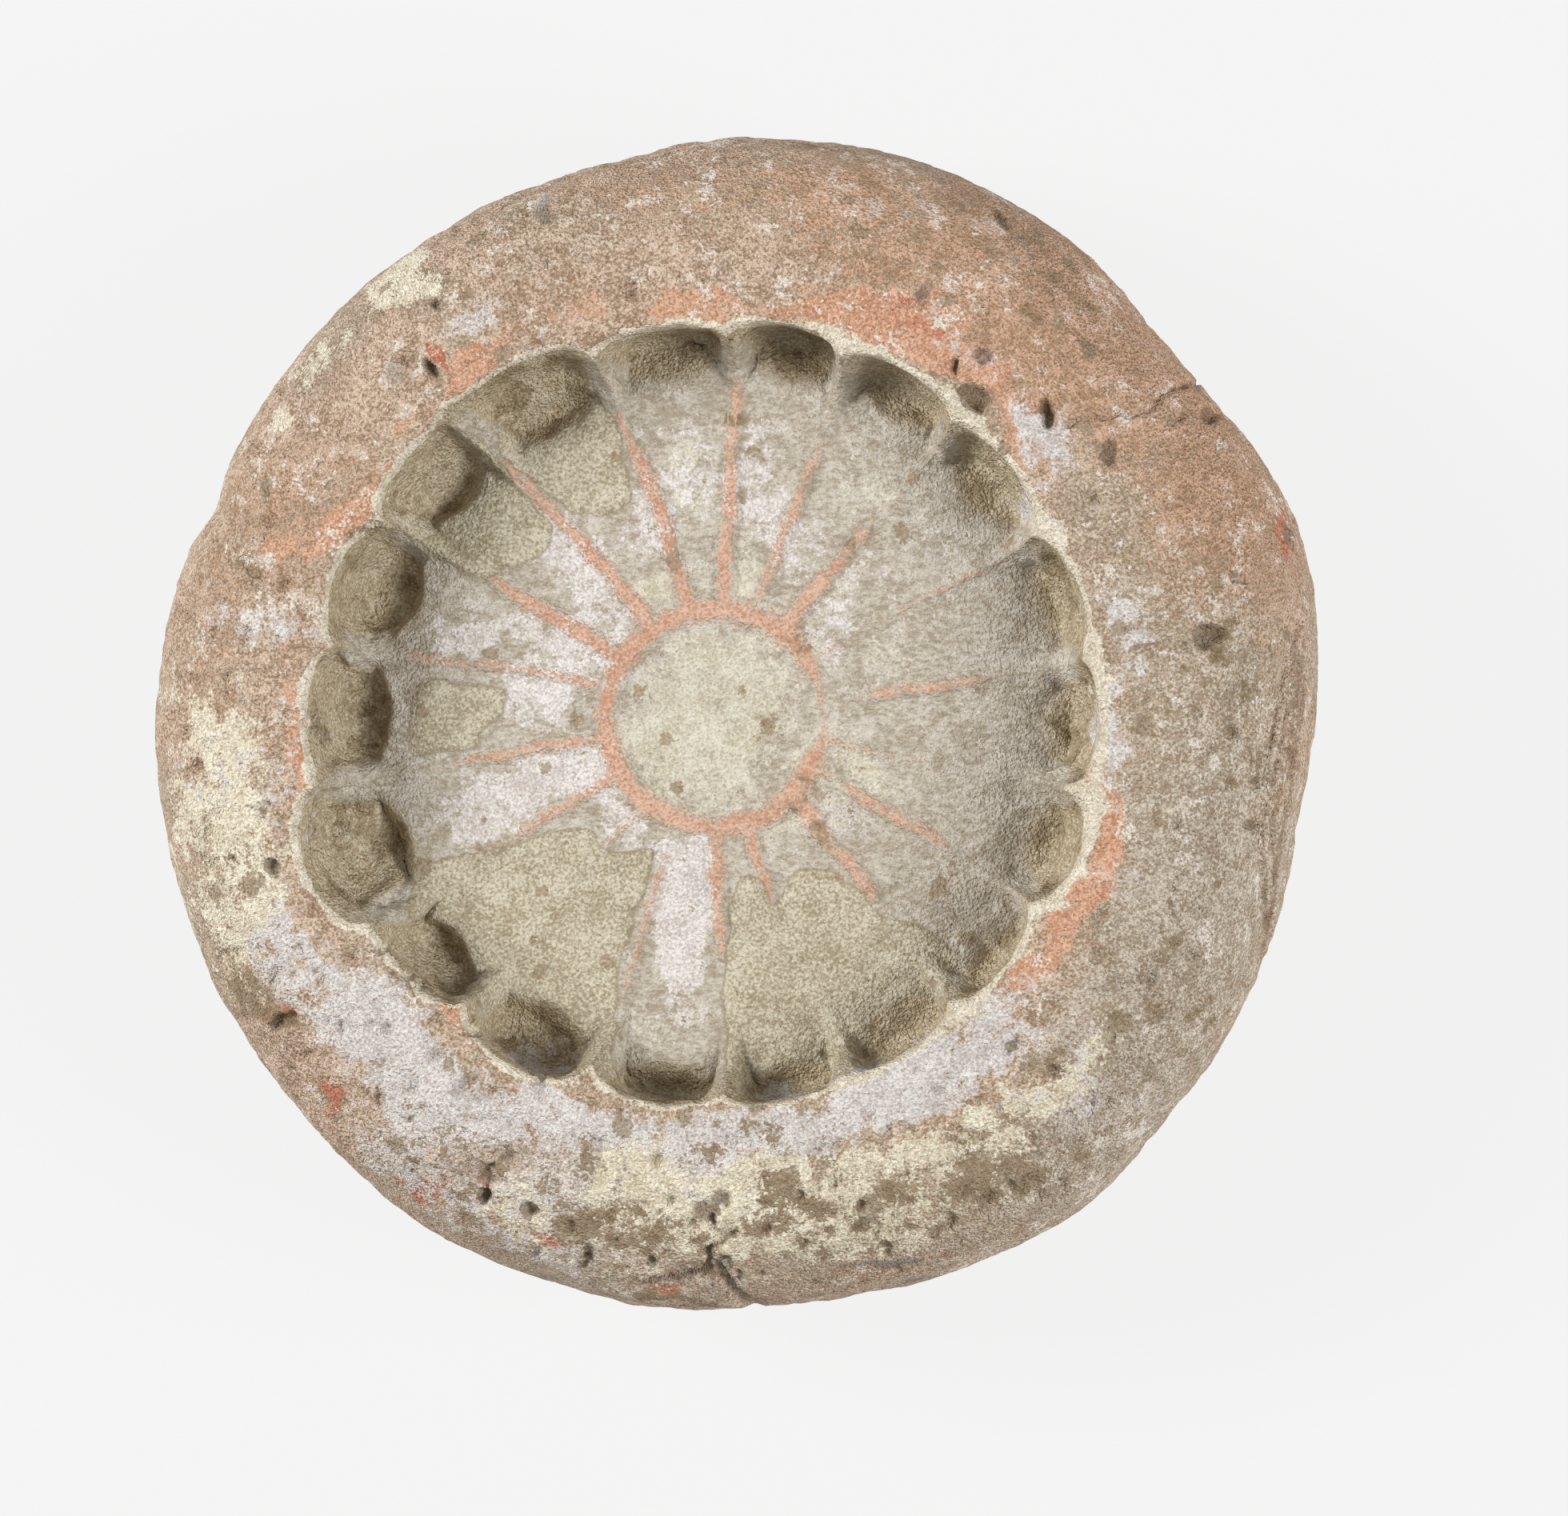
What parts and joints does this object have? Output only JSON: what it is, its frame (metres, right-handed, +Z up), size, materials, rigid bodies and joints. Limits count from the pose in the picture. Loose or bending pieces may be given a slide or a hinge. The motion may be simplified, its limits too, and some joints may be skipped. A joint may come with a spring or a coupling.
{
  "type": "open-face fired clay mould of a rosette",
  "caption": "Round cake of fired clay with a petalled rosette pressed into its top, an open-face mould for casting or pressing inlays.",
  "frame": {"origin": "middle of the flat underside, at the centre of the plan box", "axes": "+Z up out of the cavity, the way the casting leaves; +X and +Y lie in the underside, with the petals counted anticlockwise from +X"},
  "size_m": [0.0604, 0.061, 0.0205],
  "materials": {
    "fired_clay": "matt unglazed fired clay, weathered, with pale slip and salts"
  },
  "bodies": {
    "root": {"clay_mould": "fired_clay"}
  },
  "joints": []
}
